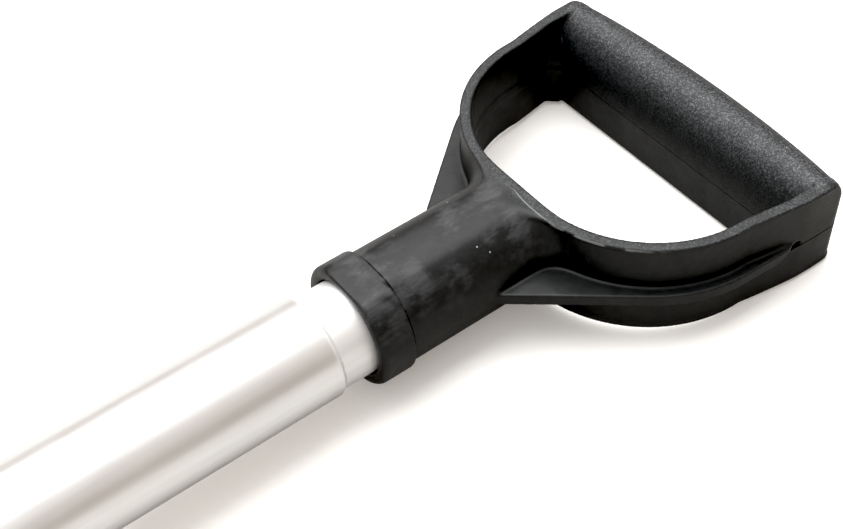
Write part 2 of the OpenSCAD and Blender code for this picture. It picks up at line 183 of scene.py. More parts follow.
_bar = [(BAR_HALF * math.cos(math.radians(t)), (GRIP_H - SEAM_Z) * math.sin(math.radians(t))) for t in np.arange(0, 180.1, 6)]
BAR = np.array([(x, z + SEAM_Z) for x, z in _bar] + [(-BAR_HALF + 1.35, -GRIP_H), (BAR_HALF - 0.6, -GRIP_H)])
# the same outer flank, with everything nearer than the crown left whole
FLANK = np.array([(x, z + SEAM_Z) for x, z in _bar if x > 0.2] + [(0.0, GRIP_H), (-400, GRIP_H), (-400, -GRIP_H), (BAR_HALF - 0.6, -GRIP_H)])


def grip_field(X, Y, Z, d_out=None, d_in=None, d_fl=None):
    if d_out is None:
        d_out = polygon_distance(OUTER, X, Y)
        d_in = polygon_distance(INNER, X, Y)
        d_fl = polygon_distance(FLANGE, X, Y)
    R = np.hypot(Y, Z)
    # the bow: a wall between two outlines, drafted a little towards both rims, and set
    # in by a third of a millimetre below each rim's lip
    draft = 0.010 * (np.abs(Z) - GRIP_H * 0.5)
    lip = 0.34 * np.clip((GRIP_H - 1.35 - np.abs(Z)) / 0.5, 0, 1)
    wall = np.maximum(d_out + lip, -(d_in - draft))
    bow = extrude(wall, np.abs(Z) - GRIP_H, 0.6)
    # the flange in the middle plane
    fl = extrude(d_fl, np.abs(Z - FLANGE_TOP + FLANGE_HALF) - FLANGE_HALF, 0.32)
    fl = np.maximum(fl, -(d_in + 1.0))
    # the socket barrel, its collar, and its flare into the bow, level with the bow's rims
    barrel = extrude(R - 18.3, np.abs(X - 34) - 31.2, 0.6)
    collar = np.maximum(extrude(R - 19.5, np.abs(X - 5.6) - 5.6, 0.4), extrude(R - 19.5, np.abs(X - 30) - 30, 2.0))
    near = np.clip((X - 44) / 10, 0, 1)
    flared = blend_union(bow, barrel, 0.8 + 7.0 * near * near)
    level = np.abs(Z) - (GRIP_H - 0.05 + 1.6 * np.clip((61.5 - X) / 7, 0, 1))
    flared = -blend_union(-flared, -level, 0.8)
    d = np.where(X < 100, flared, bow)
    d = blend_union(d, fl, 0.8)
    d = blend_union(d, collar, 0.25)
    # nothing stands inside the hand opening
    d = blend_cut(d, np.where(X > 50, d_in, 1e3), 0.8)
    # the crossbar: half an ellipse over the parting line, flat walls under it
    scale = BAR_HALF / bar_half(Y)
    u = (X - BAR_IN) * scale - BAR_HALF
    prof = polygon_distance(BAR, u, Z)
    prof = np.where(Z < SEAM_Z, prof + 0.28, prof)
    d = -blend_union(-d, -polygon_distance(FLANK, u, Z), 1.2)
    bar = -blend_union(-prof, -d_out - lip, 1.8)
    d = blend_union(d, bar, np.clip(-d_out - 1.0, 0.02, 1.0))
    # a pilaster runs up each inner corner and dies into the arm; the parting line splits it
    pil = polygon_distance(PILLAR, X, np.abs(Y) - 4.2 * np.clip((Z - 1.0) / 15.0, 0, 1))
    pil = np.maximum(pil, np.maximum(np.abs(Z) - GRIP_H + 0.6, np.abs(Y) - 55.6))
    pil = np.maximum(pil, 0.35 - np.abs(Z + 1.6))
    d = blend_union(d, pil, 0.7)
    # cored out from below, with cross ribs left standing
    yc = Y - np.clip(np.round(Y / 20.6), -2, 2) * 20.6
    core = extrude(np.maximum(np.abs(X - (BAR_IN + 12.2)) - 7.4, np.abs(yc) - 9.1), Z + 7.5, 0.9)
    core = np.maximum(core, Z + 7.5)
    d = blend_cut(d, core, 0.8)
    # socket
    bore = np.maximum(R - 15.1, X - 43.5)
    wide = np.maximum(R - 15.55, X - 7.0)
    mouth = np.maximum(R - (16.1 - np.clip(X, -3, 0.6)), X - 0.6)
    d = blend_cut(d, np.minimum(np.minimum(bore, wide), mouth), 0.5)
    # the screw's hole and seat
    rs = np.hypot(X - 28, Y)
    d = blend_cut(d, np.minimum(np.maximum(rs - 2.3, Z), np.maximum(rs - 4.5, Z + 16.6)), 0.4)
    # the slit where the flange runs out at each end
    slit = np.hypot(np.maximum(np.abs(X - 125.6) - 1.2, 0), Z + 1.0) - 0.95
    d = blend_cut(d, np.maximum(slit, 54.8 - np.abs(Y)), 0.4)
    return d


def surface_net(field, origin, step):
    """Quads over the zero surface of a sampled field, one vertex in each cell it crosses."""
    nx, ny, nz = field.shape
    neg = field < 0
    c = neg[:-1, :-1, :-1].astype(np.int8)
    for dx, dy, dz in [(0, 0, 1), (0, 1, 0), (0, 1, 1), (1, 0, 0), (1, 0, 1), (1, 1, 0), (1, 1, 1)]:
        c = c + neg[dx:nx - 1 + dx, dy:ny - 1 + dy, dz:nz - 1 + dz]
    active = (c > 0) & (c < 8)
    ids = np.full(active.shape, -1, np.int64)
    I, J, K = np.nonzero(active)
    ids[I, J, K] = np.arange(len(I))
    P = np.zeros((len(I), 3))
    count = np.zeros(len(I))
    corners = [(0, 0, 0), (1, 0, 0), (0, 1, 0), (1, 1, 0), (0, 0, 1), (1, 0, 1), (0, 1, 1), (1, 1, 1)]
    for p in range(8):
        for q in range(p + 1, 8):
            a, b = np.array(corners[p]), np.array(corners[q])
            if np.abs(a - b).sum() != 1:
                continue
            fa = field[I + a[0], J + a[1], K + a[2]]
            fb = field[I + b[0], J + b[1], K + b[2]]
            m = (fa < 0) != (fb < 0)
            t = np.where(m, fa / np.where(m, fa - fb, 1), 0)[:, None]
            P += np.where(m[:, None], a + t * (b - a), 0)
            count += m
    P = P / count[:, None] + np.c_[I, J, K]
    quads = []
    for axis in range(3):
        o1, o2 = [(1, 2), (2, 0), (0, 1)][axis]
        sl0 = [slice(1, -1)] * 3; sl0[axis] = slice(0, -1)
        sl1 = [slice(1, -1)] * 3; sl1[axis] = slice(1, None)
        A, B = neg[tuple(sl0)], neg[tuple(sl1)]
        E = np.argwhere(A != B)
        if not len(E):
            continue
        flip = A[tuple(E.T)]
        base = E + 1
        base[:, axis] = E[:, axis]
        e1, e2 = np.zeros(3, int), np.zeros(3, int)
        e1[o1], e2[o2] = 1, 1
        v = [ids[tuple((base - s).T)] for s in (0 * e1, e1, e1 + e2, e2)]
        q = np.stack(v, 1)
        q[~flip] = q[~flip][:, ::-1]
        quads.append(q)
    Q = np.vstack(quads)
    Q = Q[(Q >= 0).all(1)]
    return origin + P * step, Q


def build_grip():
    step = 0.56
    org = np.array([-2.0, -61.0, -21.0])
    xs = np.arange(org[0], 154.0, step)
    ys = np.arange(org[1], 61.6, step)
    zs = np.arange(org[2], 21.6, step)
    X2, Y2 = np.meshgrid(xs, ys, indexing="ij")
    o2 = polygon_distance(OUTER, X2, Y2)
    i2 = polygon_distance(INNER, X2, Y2)
    f2 = polygon_distance(FLANGE, X2, Y2)
    field = np.empty((len(xs), len(ys), len(zs)))
    for k, z in enumerate(zs):
        field[:, :, k] = grip_field(X2, Y2, np.full_like(X2, z), o2, i2, f2)
    V, Q = surface_net(field, org, step)
    # settle the vertices on the true surface
    h = 0.05
    for _ in range(3):
        f0 = grip_field(*V.T)
        g = np.stack([grip_field(*(V + h * e).T) - f0 for e in np.eye(3)], 1) / h
        g2 = np.maximum((g * g).sum(1), 0.25)
        V = V - np.clip(f0, -0.35, 0.35)[:, None] * g / g2[:, None] * 0.9
    return mesh_object("d_grip_moulding", V, Q, LAY)


grip = build_grip()
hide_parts("d_grip")
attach(grip, "upper")


# ------------------------------------------------------------------ camera
def to_row(v):
    return LAY_R @ Vector(v)


cam_data = bpy.data.cameras.new("camera")
cam = bpy.data.objects.new("camera", cam_data)
bpy.context.scene.collection.objects.link(cam)
right = to_row((0.79696818, -0.60317185, -0.03202243))
up = to_row((0.46233743, 0.57505105, 0.67495214))
back = to_row((-0.3886976, -0.55272055, 0.73716632))
place = LAY @ Vector((-179.03 + 46.8, -227.69, 311.82))
cam.matrix_world = Matrix(((right.x, up.x, back.x, place.x), (right.y, up.y, back.y, place.y),
                           (right.z, up.z, back.z, place.z), (0, 0, 0, 1)))
cam_data.lens = 59.94
cam_data.sensor_width = 36
cam_data.clip_start = 0.02
cam_data.clip_end = 20
bpy.context.scene.camera = cam

# ------------------------------------------------------------------ floor and light
floor_mesh = bmesh.new()
bmesh.ops.create_grid(floor_mesh, x_segments=1, y_segments=1, size=18)
fm = bpy.data.meshes.new("floor")
floor_mesh.to_mesh(fm); floor_mesh.free()
floor = bpy.data.objects.new("floor", fm)
bpy.context.scene.collection.objects.link(floor)
floor.location = (0, 0, -0.0002)


def material(name):
    m = bpy.data.materials.new(name)
    m.use_nodes = True
    nt = m.node_tree
    return m, nt, nt.nodes["Principled BSDF"]


# white paper, lit past white where it is seen, and a warmer grey where it is only reflected
fmat, nt, bsdf = material("floor_paper")
path = nt.nodes.new("ShaderNodeLightPath")
seen = nt.nodes.new("ShaderNodeMix")
seen.data_type = "RGBA"
seen.inputs[6].default_value = (0.46, 0.45, 0.43, 1)
seen.inputs[7].default_value = (0.95, 0.945, 0.935, 1)
nt.links.new(path.outputs["Is Camera Ray"], seen.inputs[0])
nt.links.new(seen.outputs[2], bsdf.inputs["Base Color"])
bsdf.inputs["Roughness"].default_value = 0.85
bsdf.inputs["Emission Color"].default_value = (1.0, 0.94, 0.87, 1)
glow = nt.nodes.new("ShaderNodeMath")
glow.operation = "MULTIPLY"
glow.inputs[1].default_value = 0.20
nt.links.new(path.outputs["Is Camera Ray"], glow.inputs[0])
nt.links.new(glow.outputs[0], bsdf.inputs["Emission Strength"])
floor.data.materials.append(fmat)

scene = bpy.context.scene
scene.view_settings.view_transform = "Standard"
scene.view_settings.look = "None"
world = bpy.data.worlds.new("studio")
scene.world = world
world.use_nodes = True
wn, wl = world.node_tree.nodes, world.node_tree.links
wn.clear()
tc = wn.new("ShaderNodeTexCoord")
sep = wn.new("ShaderNodeSeparateXYZ")
ramp = wn.new("ShaderNodeValToRGB")
bg = wn.new("ShaderNodeBackground")
wo = wn.new("ShaderNodeOutputWorld")
wl.new(tc.outputs["Generated"], sep.inputs[0])
wl.new(sep.outputs["Z"], ramp.inputs[0])
# the side towards the camera is darker and warmer than the far side
near = wn.new("ShaderNodeVectorMath")
near.operation = "DOT_PRODUCT"
near.inputs[1].default_value = (0.45, -0.86, 0.24)
wl.new(tc.outputs["Generated"], near.inputs[0])
fade = wn.new("ShaderNodeMapRange")
fade.interpolation_type = "SMOOTHSTEP"
wl.new(near.outputs["Value"], fade.inputs["Value"])
fade.inputs["From Min"].default_value = 0.15
fade.inputs["From Max"].default_value = 0.95
fade.inputs["To Max"].default_value = 0.8
tinted = wn.new("ShaderNodeMix")
tinted.data_type = "RGBA"
tinted.inputs[7].default_value = (0.255, 0.21, 0.17, 1)
wl.new(fade.outputs["Result"], tinted.inputs[0])
wl.new(ramp.outputs[0], tinted.inputs[6])
wl.new(tinted.outputs[2], bg.inputs[0])
wl.new(bg.outputs[0], wo.inputs[0])
ramp.color_ramp.interpolation = "EASE"
els = ramp.color_ramp.elements
els[0].position, els[0].color = 0.0, (0.16, 0.115, 0.085, 1)
els[1].position, els[1].color = 1.0, (1.0, 1.0, 1.0, 1)
for pos, col in [(0.22, (0.17, 0.125, 0.095, 1)), (0.40, (0.50, 0.47, 0.44, 1)), (0.58, (1.0, 1.0, 1.0, 1))]:
    e = els.new(pos)
    e.color = col
bg.inputs[1].default_value = 1.40
view = scene.view_settings
view.use_curve_mapping = True
view.curve_mapping.black_level = (0.0165, 0.0165, 0.0165)
view.curve_mapping.update()


def area(name, where, aim, size, power, color=(1, 1, 1)):
    d = bpy.data.lights.new(name, "AREA")
    d.shape = "RECTANGLE"
    d.size, d.size_y = size
    d.energy = power
    d.color = color
    o = bpy.data.objects.new(name, d)
    bpy.context.scene.collection.objects.link(o)
    o.location = where
    v = Vector(aim) - Vector(where)
    o.rotation_euler = v.to_track_quat("-Z", "Y").to_euler()
    return o


GRIP_AT = LAY @ Vector((60, 0, 0))
# a big soft source high over the far side
area("key", GRIP_AT + Vector((0.05, 0.50, 1.45)), GRIP_AT, (1.9, 1.5), 37, (1.0, 0.99, 0.98))


# ------------------------------------------------------------------ material helpers
class Net:
    """Short forms for building a node tree."""

    def __init__(self, name):
        self.mat, self.nt, self.bsdf = material(name)
        self.tc = self.nt.nodes.new("ShaderNodeTexCoord").outputs["Object"]

    def link(self, value, socket):
        if isinstance(value, bpy.types.NodeSocket):
            self.nt.links.new(value, socket)
        elif value is not None:
            socket.default_value = value

    def m(self, op, a, b=None, c=None, clamp=False):
        n = self.nt.nodes.new("ShaderNodeMath")
        n.operation = op
        n.use_clamp = clamp
        for v, s in zip((a, b, c), n.inputs):
            self.link(v, s)
        return n.outputs[0]

    def span(self, v, a, b, lo=0.0, hi=1.0):
        """v from a to b becomes lo to hi, smoothly and held at the ends."""
        n = self.nt.nodes.new("ShaderNodeMapRange")
        n.interpolation_type = "SMOOTHSTEP"
        for s, x in zip(("Value", "From Min", "From Max", "To Min", "To Max"), (v, a, b, lo, hi)):
            self.link(x, n.inputs[s])
        return n.outputs["Result"]

    def place(self, loc=(0, 0, 0), rot=(0, 0, 0), scale=(1, 1, 1), source=None):
        n = self.nt.nodes.new("ShaderNodeMapping")
        self.link(source or self.tc, n.inputs["Vector"])
        n.inputs["Location"].default_value = loc
        n.inputs["Rotation"].default_value = rot
        n.inputs["Scale"].default_value = scale
        return n.outputs[0]

    def shaft(self):
        """The shaft frame's coordinates in millimetres."""
        t = Matrix.Rotation(-TH, 3, "Y") @ Vector((-BACK, 0, UP))
        return self.place(tuple(-t), (0, -TH, 0), (1000, 1000, 1000))

    def axes(self, v):
        n = self.nt.nodes.new("ShaderNodeSeparateXYZ")
        self.link(v, n.inputs[0])
        return n.outputs[0], n.outputs[1], n.outputs[2]

    def noise(self, v, scale, detail=3.0, rough=0.5, kind="ShaderNodeTexNoise"):
        n = self.nt.nodes.new(kind)
        self.link(v, n.inputs["Vector"])
        n.inputs["Scale"].default_value = scale
        if "Detail" in n.inputs:
            n.inputs["Detail"].default_value = detail
        if "Roughness" in n.inputs:
            n.inputs["Roughness"].default_value = rough
        return n.outputs[0]

    def cells(self, v, scale, feature="F1"):
        n = self.nt.nodes.new("ShaderNodeTexVoronoi")
        n.feature = feature
        self.link(v, n.inputs["Vector"])
        n.inputs["Scale"].default_value = scale
        return n.outputs["Distance"]

    def cell_value(self, v, scale):
        """One random value for each cell."""
        n = self.nt.nodes.new("ShaderNodeTexVoronoi")
        self.link(v, n.inputs["Vector"])
        n.inputs["Scale"].default_value = scale
        g = self.nt.nodes.new("ShaderNodeSeparateColor")
        self.link(n.outputs["Color"], g.inputs[0])
        return g.outputs[0]

    def colour(self, fac, a, b):
        n = self.nt.nodes.new("ShaderNodeMix")
        n.data_type = "RGBA"
        self.link(fac, n.inputs[0])
        for v, s in ((a, n.inputs[6]), (b, n.inputs[7])):
            self.link(v if isinstance(v, bpy.types.NodeSocket) else (*v, 1.0), s)
        return n.outputs[2]

    def bump(self, height, strength, distance, normal=None):
        n = self.nt.nodes.new("ShaderNodeBump")
        self.link(height, n.inputs["Height"])
        n.inputs["Strength"].default_value = strength
        n.inputs["Distance"].default_value = distance
        if normal is not None:
            self.link(normal, n.inputs["Normal"])
        return n.outputs[0]

    def normal_z(self):
        g = self.nt.nodes.new("ShaderNodeNewGeometry")
        return g

    def set(self, **kw):
        for k, v in kw.items():
            s = self.bsdf.inputs[k.replace("_", " ")]
            if not isinstance(v, bpy.types.NodeSocket) and s.type == "RGBA":
                v = (*v, 1.0)
            self.link(v, s)
        return self.mat


def grip_material():
    n = Net("grip_plastic")
    p = n.shaft()
    x, y, z = n.axes(p)
    r = n.m("SQRT", n.m("ADD", n.m("MULTIPLY", y, y), n.m("MULTIPLY", z, z)))
    on_bar = n.span(x, 122, 128)
    on_barrel = n.m("MULTIPLY", n.span(x, 58, 68, 1, 0), n.span(r, 16, 17.5))
    under = n.m("MULTIPLY", on_bar, n.span(z, -2.2, -1.8, 1, 0))
    top = n.m("MULTIPLY", on_bar, n.span(z, -2.2, -1.8))
    # pebble grain: rounded cells a third of a millimetre across, over a slow swell
    pebble = n.cells(p, 2.1, "SMOOTH_F1")
    fine = n.noise(p, 5.5, 2, 0.6)
    swell = n.noise(p, 0.14, 3, 0.5)
    grain = n.m("ADD", n.m("MULTIPLY", pebble, -0.9), n.m("MULTIPLY", fine, 0.5))
    amount = n.m("ADD", n.m("ADD", 0.34, n.m("MULTIPLY", top, 0.75)), n.m("MULTIPLY", on_barrel, -0.14))
    h = n.m("MULTIPLY", grain, amount)
    seam_and_shade = n.m("MULTIPLY", n.span(n.m("ABSOLUTE", n.m("ADD", z, 2.0)), 0.12, 0.34, 1, 0), n.m("MAXIMUM", on_bar, n.span(x, 118, 122)))
    # painted shade: the fine dark lines behind the collar's back edge and under the rim's lip, where the steps throw
    # shade
    shade_line = n.m("MULTIPLY", n.span(n.m("ABSOLUTE", n.m("SUBTRACT", x, 11.55)), 0.12, 0.42, 1, 0), n.span(r, 18.3, 18.8, 1, 0))
    lip_shade_line = n.m("MULTIPLY", n.span(n.m("ABSOLUTE", n.m("SUBTRACT", z, 15.95)), 0.14, 0.38, 1, 0),
                   n.m("MULTIPLY", n.span(x, 100, 114), n.span(n.m("ABSOLUTE", y), 54.8, 55.6)))
    seam_and_shade = n.m("MAXIMUM", seam_and_shade, n.m("MAXIMUM", n.m("MULTIPLY", shade_line, 0.85), n.m("MULTIPLY", lip_shade_line, 0.75)))
    h = n.m("SUBTRACT", h, n.m("MULTIPLY", seam_and_shade, 0.8))
    # the collar's mouth is in shade all round, most on the near side
    near = n.span(y, -13, 1, 1, 0)
    mouth = n.m("MULTIPLY", n.span(n.m("SUBTRACT", r, n.m("MULTIPLY", near, 1.4)), 16.5, 17.3, 1, 0), n.span(x, -1.7, -0.8, 1, 0))
    seam_and_shade = n.m("MAXIMUM", seam_and_shade, n.m("MULTIPLY", mouth, 0.85))
    # a broken thread of flash along the outer edge of the upper rim
    ring = n.m("SUBTRACT", n.m("SQRT", n.m("ADD", n.m("POWER", n.m("SUBTRACT", x, BOW_X), 2.0),
                                         n.m("POWER", n.m("SUBTRACT", n.m("ABSOLUTE", y), BOW_Y), 2.0))), BOW_R)
    thread = n.m("MULTIPLY", n.span(n.m("ABSOLUTE", n.m("ADD", ring, 0.05)), 0.08, 0.30, 1, 0),
                 n.m("MULTIPLY", n.span(x, 68, 84, 1, 0), n.span(y, -4, 4, 1, 0)))
    thread = n.m("MULTIPLY", thread, n.m("MULTIPLY", n.span(z, 15.4, 16.2), n.span(n.noise(p, 0.16, 3, 0.5), 0.38, 0.50)))
    b1 = n.bump(swell, 0.35, 0.00045)
    b2 = n.bump(h, 0.8, 0.000055, b1)
    # rubbed, paler patches along the top of the barrel and where it flares out
    patch = n.noise(n.place(scale=(1, 1.6, 1), source=p), 0.085, 5, 0.62)
    streak = n.noise(n.place(scale=(0.22, 1.6, 1.6), rot=(0, 0, 0.35), source=p), 0.5, 4, 0.6)
    facing = n.m("MULTIPLY", n.span(z, 2, 15), n.m("MULTIPLY", n.span(x, 58, 68, 1, 0), n.span(r, 16.6, 17.6)))
    near_collar = n.m("MULTIPLY", n.span(n.m("ABSOLUTE", n.m("SUBTRACT", x, 12.0)), 3.0, 14.0, 0.10, 0), n.span(z, 8, 16))
    rub = n.m("MULTIPLY", n.m("MULTIPLY", n.span(n.m("ADD", patch, near_collar), 0.47, 0.66), n.span(streak, 0.30, 0.66, 0.45, 1)), facing)
    dust = n.m("MULTIPLY", n.span(n.noise(p, 0.9, 6, 0.7), 0.60, 0.74), 0.5)
    pale = n.m("ADD", n.m("MULTIPLY", rub, 0.62), n.m("MULTIPLY", dust, 0.16), clamp=True)
    pale = n.m("MAXIMUM", pale, n.m("MULTIPLY", thread, 0.75))
    # the grain's facets glint one by one, most of all along the crossbar's crown
    facet = n.cell_value(p, 2.8)
    crown = n.m("MULTIPLY", top, n.span(n.m("ABSOLUTE", n.m("SUBTRACT", x, 136.5)), 2.0, 11.0, 1, 0))
    crown = n.m("MULTIPLY", crown, n.span(n.m("ABSOLUTE", y), 56.6, 57.8, 1, 0))
    rims = n.m("MULTIPLY", n.span(z, 16.6, 17.2), n.span(x, 58, 64))
    glint = n.m("MULTIPLY", n.m("POWER", facet, 3.0), n.m("MAXIMUM", n.m("MULTIPLY", crown, 1.0), n.m("MULTIPLY", rims, 0.55)))
    # a few pale specks of dust, and one pin hole, its shade painted as a dark dot
    specks = None
    for q, rad in SPECKS:
        d = n.nt.nodes.new("ShaderNodeVectorMath")
        d.operation = "DISTANCE"
        n.link(p, d.inputs[0])
        d.inputs[1].default_value = q
        s = n.span(d.outputs["Value"], rad * 0.6, rad * 1.15, 1, 0)
        specks = s if specks is None else n.m("MAXIMUM", specks, s)
    base = n.colour(n.span(n.noise(p, 0.35, 4, 0.6), 0.3, 0.7), (0.0076, 0.0086, 0.0090), (0.0118, 0.0130, 0.0135))
    dot = n.nt.nodes.new("ShaderNodeVectorMath")
    dot.operation = "DISTANCE"
    n.link(p, dot.inputs[0])
    dot.inputs[1].default_value = (15.1, -6.4, 17.15)
    pin_hole_shade = n.span(dot.outputs["Value"], 0.35, 0.75, 1, 0)
    # painted shade: near black where the pin hole, the shade lines and the collar's mouth stand in for shade; the
    # parting line itself is a dark joint
    base = n.colour(n.m("MAXIMUM", pin_hole_shade, n.m("MULTIPLY", seam_and_shade, 0.85)), base, (0.003, 0.003, 0.003))
    base = n.colour(glint, base, (0.118, 0.125, 0.136))
    base = n.colour(pale, base, (0.075, 0.076, 0.080))
    base = n.colour(n.m("MULTIPLY", thread, 0.7), base, (0.20, 0.205, 0.21))
    base = n.colour(n.m("MULTIPLY", specks, 0.8), base, (0.55, 0.54, 0.50))
    rough = n.m("ADD", n.m("ADD", 0.44, n.m("MULTIPLY", fine, 0.10)), n.m("MULTIPLY", n.m("SUBTRACT", patch, 0.5), 0.28))
    rough = n.m("ADD", rough, n.m("MULTIPLY", on_barrel, -0.05))
    gloss = n.m("MULTIPLY", n.m("SUBTRACT", 1.0, seam_and_shade), n.m("SUBTRACT", 0.39, n.m("MULTIPLY", on_barrel, 0.06)))
    return n.set(Base_Color=base, Roughness=rough, Normal=b2, Specular_IOR_Level=gloss)


SPECKS = [((45.3, 10.0, 15.4), 0.26), ((40.8, -10.0, 15.4), 0.28), ((43.6, -12.5, 13.4), 0.24),
          ((52.0, 1.5, 18.0), 0.18), ((24.0, 8.0, 16.5), 0.18), ((139.0, -38.0, 17.4), 0.22)]
grip.data.materials.append(grip_material())


def tube_material():
    n = Net("drawn_aluminium")
    p = n.shaft()
    x, y, z = n.axes(p)
    # draw lines run lengthwise: noise stretched along the shaft
    lines = n.noise(n.place(scale=(0.012, 1.0, 1.0), source=p), 3.2, 5, 0.65)
    soft = n.noise(n.place(scale=(0.05, 1.0, 1.0), source=p), 0.32, 4, 0.6)
    marks = n.noise(p, 0.12, 5, 0.6)
    rough = n.m("ADD", n.m("ADD", 0.30, n.m("MULTIPLY", lines, 0.08)), n.m("MULTIPLY", n.m("SUBTRACT", marks, 0.5), 0.10))
    base = n.colour(n.span(soft, 0.3, 0.7), (0.86, 0.86, 0.865), (0.93, 0.93, 0.925))
    b = n.bump(n.m("ADD", n.m("MULTIPLY", lines, 0.7), n.m("MULTIPLY", soft, 0.5)), 0.16, 0.000012)
    # the turned neck and its shoulder are satin, not drawn
    turned = n.m("MULTIPLY", n.span(x, -12.4, -11.2), n.span(n.m("SQRT", n.m("ADD", n.m("MULTIPLY", y, y), n.m("MULTIPLY", z, z))), 12.5, 13.2))
    metal = n.m("SUBTRACT", 0.84, n.m("MULTIPLY", turned, 0.22))
    rough = n.m("ADD", rough, n.m("MULTIPLY", turned, 0.10))
    return n.set(Base_Color=base, Metallic=metal, Roughness=rough, Normal=b)


def steel_material(name, tone, rough0, brushed=(0.03, 1.0, 1.0), tint=None):
    """Brushed stainless with sand wear, and heat tint beside the welds where tint is given."""
    n = Net(name)
    p = n.place(scale=(1000, 1000, 1000))
    lines = n.noise(n.place(scale=brushed, source=p), 2.4, 6, 0.7)
    cloud = n.noise(p, 0.028, 4, 0.55)
    worn = n.noise(p, 0.11, 6, 0.66)
    scr = n.noise(n.place(scale=(0.06, 1.3, 0.5), rot=(0.3, 0.5, 0.8), source=p), 1.5, 4, 0.7)
    scratch = n.span(scr, 0.66, 0.72)
    rough = n.m("ADD", n.m("ADD", rough0, n.m("MULTIPLY", lines, 0.16)), n.m("MULTIPLY", n.m("SUBTRACT", worn, 0.5), 0.30))
    base = n.colour(n.span(cloud, 0.3, 0.7), tuple(t * 0.88 for t in tone), tone)
    base = n.colour(n.m("MULTIPLY", n.span(worn, 0.56, 0.75), 0.35), base, tuple(t * 0.55 for t in tone))
    base = n.colour(n.m("MULTIPLY", scratch, 0.4), base, tuple(min(t * 1.25, 0.9) for t in tone))
    if tint:
        base = tint(n, base)
    b = n.bump(n.m("ADD", n.m("MULTIPLY", lines, 0.6), n.m("MULTIPLY", scratch, -0.6)), 0.4, 0.00003)
    return n.set(Base_Color=base, Metallic=1.0, Roughness=rough, Normal=b)


def basket_tint(n, base):
    """Straw to blue bands beside the basket's welded corners, from the distance to each."""
    t = HEADM.inverted() @ LAY.inverted()
    e = t.to_3x3()
    loc, rot, sc = t.to_translation(), t.to_euler(), t.to_scale()
    q = n.place(tuple(loc), tuple(rot), tuple(sc))
    x, y, z = n.axes(q)
    ay = n.m("ABSOLUTE", y)
    d = None
    for cy, cz in SECTION[1:5]:
        dd = n.m("SQRT", n.m("ADD", n.m("POWER", n.m("SUBTRACT", ay, float(cy)), 2.0),
                             n.m("POWER", n.m("SUBTRACT", z, float(cz)), 2.0)))
        d = dd if d is None else n.m("MINIMUM", d, dd)
    d = n.m("MINIMUM", d, n.m("ABSOLUTE", x))
    d = n.m("ADD", d, n.m("MULTIPLY", n.m("SUBTRACT", n.noise(q, 0.16, 3, 0.5), 0.5), 5.0))
    out = n.colour(n.span(d, 3.0, 9.5, 0.55, 0), base, (0.58, 0.43, 0.22))
    out = n.colour(n.span(d, 1.6, 5.0, 0.60, 0), out, (0.20, 0.20, 0.34))
    return out


def plastic_material(name, tone):
    n = Net(name)
    p = n.shaft()
    g = n.noise(p, 2.6, 3, 0.6)
    w = n.noise(p, 0.18, 4, 0.6)
    base = n.colour(n.span(w, 0.35, 0.7), tone, tuple(t * 1.5 for t in tone))
    rough = n.m("ADD", 0.42, n.m("MULTIPLY", w, 0.16))
    return n.set(Base_Color=base, Roughness=rough, Normal=n.bump(g, 0.5, 0.00003))


# ------------------------------------------------------------------ weld beads
def resample(points, step, closed=False):
    P = np.array(points, float)
    if closed:
        P = np.vstack([P, P[:1]])
    seg = np.linalg.norm(np.diff(P, axis=0), axis=1)
    at = np.r_[0, np.cumsum(seg)]
    n = max(int(at[-1] / step), 4)
    t = np.linspace(0, at[-1], n + 1)
    out = np.stack([np.interp(t, at, P[:, k]) for k in range(3)], 1)
    return (out[:-1], t[:-1], at[-1]) if closed else (out, t, at[-1])


def bead(points, radius, face, closed=False, seed=0.0, pitch=2.3, flat=0.8):
    """A fillet of overlapping weld ripples along a path; face points out of the metal."""
    step = 0.62
    P, t, total = resample(points, step, closed)
    k = 12
    n = len(P)
    if closed:
        T = np.roll(P, -1, 0) - np.roll(P, 1, 0)
        pitch = total / max(round(total / pitch), 1)
    else:
        T = np.gradient(P, axis=0)
    # corners are rounded by smoothing the path's direction
    T /= np.linalg.norm(T, axis=1)[:, None]
    F = np.array([face(p) if callable(face) else face for p in P], float)
    F -= (F * T).sum(1)[:, None] * T
    F /= np.linalg.norm(F, axis=1)[:, None]
    S = np.cross(T, F)
    wander = 0.10 * np.sin(t * 0.21 + seed * 3.1) + 0.07 * np.sin(t * 0.083 + seed)
    verts = []
    for j in range(k):
        a = 2 * math.pi * j / k
        lag = 0.85 * radius * (1 - max(math.sin(a), 0))
        ph = ((t + lag + 0.35 * np.sin(t * 0.5 + seed)) / pitch) % 1.0
        if closed:
            ph = ((t + lag) / pitch) % 1.0
        ripple = 1 - 0.17 * ph ** 1.6
        r = radius * (1 + wander) * ripple
        if not closed:
            end = np.minimum(t, total - t)
            r = r * np.sqrt(np.clip(0.18 + end / (1.3 * radius), 0, 1))
        verts.append(P + (math.cos(a) * r)[:, None] * S + (flat * math.sin(a) * r)[:, None] * F)
    V = np.stack(verts, 1).reshape(-1, 3)
    faces = []
    rings = n if closed else n - 1
    for i in range(rings):
        i2 = (i + 1) % n
        for j in range(k):
            j2 = (j + 1) % k
            faces.append((i * k + j, i * k + j2, i2 * k + j2, i2 * k + j))
    if not closed:
        V = np.vstack([V, P[:1], P[-1:]])
        for j in range(k):
            j2 = (j + 1) % k
            faces.append((n * k, j2, j))
            faces.append((n * k + 1, (n - 1) * k + j, (n - 1) * k + j2))
    return V, faces


def weld_piece(name, beads, matrix):
    V, Fc, off = [], [], 0
    for b, f in beads:
        V.append(b)
        Fc += [tuple(i + off for i in q) for q in f]
        off += len(b)
    ob = mesh_object(name, np.vstack(V), Fc, matrix)
    bm = bmesh.new()
    bm.from_mesh(ob.data)
    bmesh.ops.recalc_face_normals(bm, faces=bm.faces)
    bm.to_mesh(ob.data)
    bm.free()
    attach(ob, "head")
    ob.data.materials.append(WELD)
    return ob


